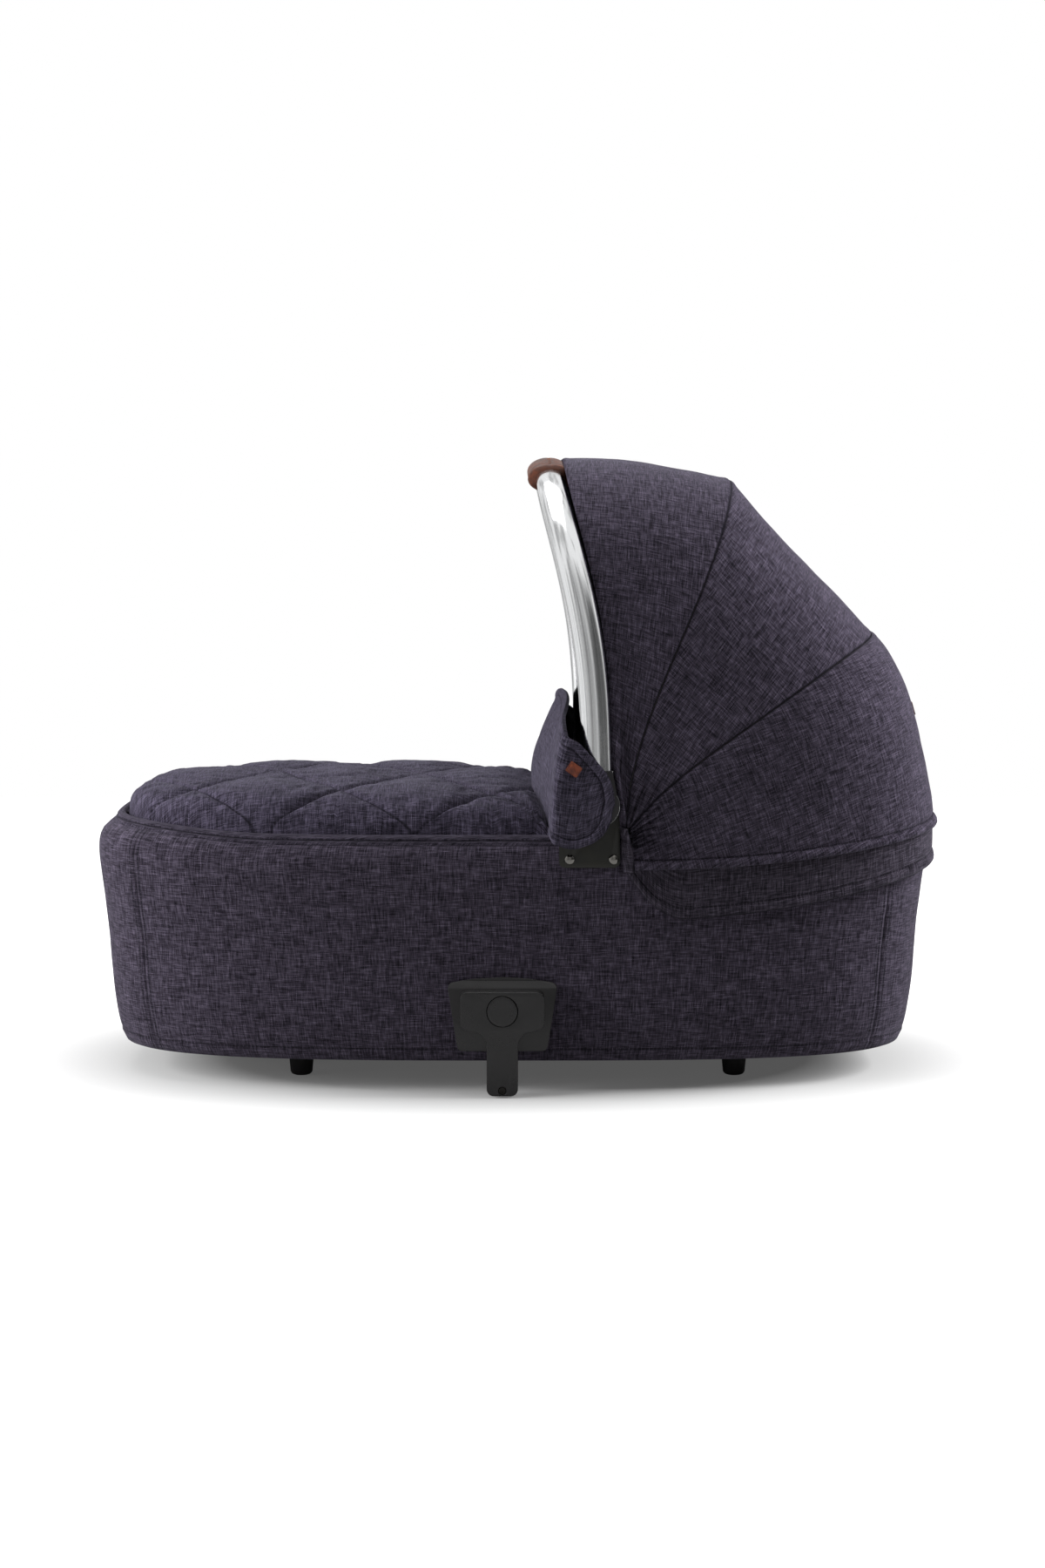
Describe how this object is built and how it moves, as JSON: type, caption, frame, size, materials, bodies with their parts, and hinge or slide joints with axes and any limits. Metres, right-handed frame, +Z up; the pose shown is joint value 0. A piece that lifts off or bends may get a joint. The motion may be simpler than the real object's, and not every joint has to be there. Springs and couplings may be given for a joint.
{
  "type": "carrycot",
  "caption": "Fabric-covered pram carrycot with rubber feet, side chassis adapters, quilted apron with wind flap, and a panelled hood that folds back with its carrying handle.",
  "frame": {"origin": "on the floor under the middle of the carrycot, where the bounding box has its bottom centre", "axes": "+X towards the head end under the hood, +Y towards the left side, +Z up"},
  "size_m": [0.875, 0.4699, 0.6326],
  "materials": {
    "navy_cloth": "melange weave",
    "zip_tape": "ribbed tape",
    "lining_cloth": "soft jersey",
    "brown_leather": "grained, stitched",
    "black_plastic": "fine grain",
    "black_rubber": "matt",
    "polished_aluminium": "polished",
    "chrome": "polished",
    "steel": "plated",
    "olive_metal": "satin"
  },
  "bodies": {
    "tub": {"adapter_base_left": "black_plastic", "adapter_base_right": "black_plastic", "adapter_body_left": "black_plastic", "adapter_body_right": "black_plastic", "adapter_screw_left": "steel", "adapter_screw_right": "steel", "adapter_spring_left": "steel", "adapter_spring_right": "steel", "apron": "navy_cloth", "back_label": "brown_leather", "flap_label": "brown_leather", "front_rivet_left": "steel", "front_rivet_right": "steel", "hinge_pin_left": "steel", "hinge_pin_right": "steel", "hinge_plate_left": "olive_metal", "hinge_plate_right": "olive_metal", "hood_back_panel": "navy_cloth", "hood_skirt": "navy_cloth", "liner": "lining_cloth", "mattress": "lining_cloth", "outer_cover": "navy_cloth", "rear_rivet_left": "steel", "rear_rivet_right": "steel", "rim_zip_band": "zip_tape", "rubber_foot_foot_left": "black_rubber", "rubber_foot_foot_right": "black_rubber", "rubber_foot_head_left": "black_rubber", "rubber_foot_head_right": "black_rubber", "tub_shell": "black_plastic", "wind_flap": "navy_cloth"},
    "handle": {"handle_tube": "polished_aluminium", "handle_grip": "brown_leather", "hood_front_panel": "navy_cloth", "handle_hub_left": "black_plastic", "handle_hub_right": "black_plastic", "hinge_spring_left": "steel", "hinge_spring_right": "steel"},
    "mid_bow": {"mid_bow": "steel", "hood_middle_panel": "navy_cloth"},
    "rear_bow": {"rear_bow": "steel"},
    "hinge_button_left": {"hinge_button_left": "chrome"},
    "hinge_button_right": {"hinge_button_right": "chrome"},
    "adapter_button_left": {"adapter_button_left": "black_plastic"},
    "adapter_button_right": {"adapter_button_right": "black_plastic"},
    "adapter_latch_left": {"adapter_latch_left": "steel"},
    "adapter_latch_right": {"adapter_latch_right": "steel"}
  },
  "joints": [
    {"name": "rear_bow_hinge", "type": "hinge", "parent": "tub", "child": "rear_bow", "pos_m": [0.08, 0, 0.292], "axis": [0, 1, 0], "range_deg": [0, 28], "deforming": ["hood_back_panel", "back_label"]},
    {"name": "mid_bow_hinge", "type": "hinge", "parent": "rear_bow", "child": "mid_bow", "pos_m": [0.08, 0, 0.292], "axis": [0, 1, 0], "range_deg": [0, 27], "deforming": ["hood_middle_panel"]},
    {"name": "handle_hinge", "type": "hinge", "parent": "mid_bow", "child": "handle", "pos_m": [0.08, 0, 0.292], "axis": [0, 1, 0], "range_deg": [0, 18], "deforming": ["hood_front_panel"]},
    {"name": "hinge_button_left_press", "type": "slide", "parent": "handle", "child": "hinge_button_left", "axis": [0, -1, 0], "range_m": [0, 0.0025], "stiffness_N_per_m": 900, "springref_m": -0.001, "deforming": ["hinge_spring_left"]},
    {"name": "adapter_button_left_press", "type": "slide", "parent": "tub", "child": "adapter_button_left", "axis": [0, -1, 0], "range_m": [0, 0.003], "stiffness_N_per_m": 1200, "springref_m": -0.001, "deforming": ["adapter_spring_left"]},
    {"name": "adapter_latch_left_slide", "type": "slide", "parent": "tub", "child": "adapter_latch_left", "axis": [0, 0, 1], "range_m": [0, 0.004]},
    {"name": "hinge_button_right_press", "type": "slide", "parent": "handle", "child": "hinge_button_right", "axis": [0, 1, 0], "range_m": [0, 0.0025], "stiffness_N_per_m": 900, "springref_m": -0.001, "deforming": ["hinge_spring_right"]},
    {"name": "adapter_button_right_press", "type": "slide", "parent": "tub", "child": "adapter_button_right", "axis": [0, 1, 0], "range_m": [0, 0.003], "stiffness_N_per_m": 1200, "springref_m": -0.001, "deforming": ["adapter_spring_right"]},
    {"name": "adapter_latch_right_slide", "type": "slide", "parent": "tub", "child": "adapter_latch_right", "axis": [0, 0, 1], "range_m": [0, 0.004]}
  ],
  "couplings": [
    {"joint": "mid_bow_hinge", "follows": "rear_bow_hinge", "ratio": 0.9642},
    {"joint": "handle_hinge", "follows": "rear_bow_hinge", "ratio": 0.6428},
    {"joint": "adapter_latch_left_slide", "follows": "adapter_button_left_press", "ratio": 1.3333},
    {"joint": "adapter_latch_right_slide", "follows": "adapter_button_right_press", "ratio": 1.3333}
  ]
}
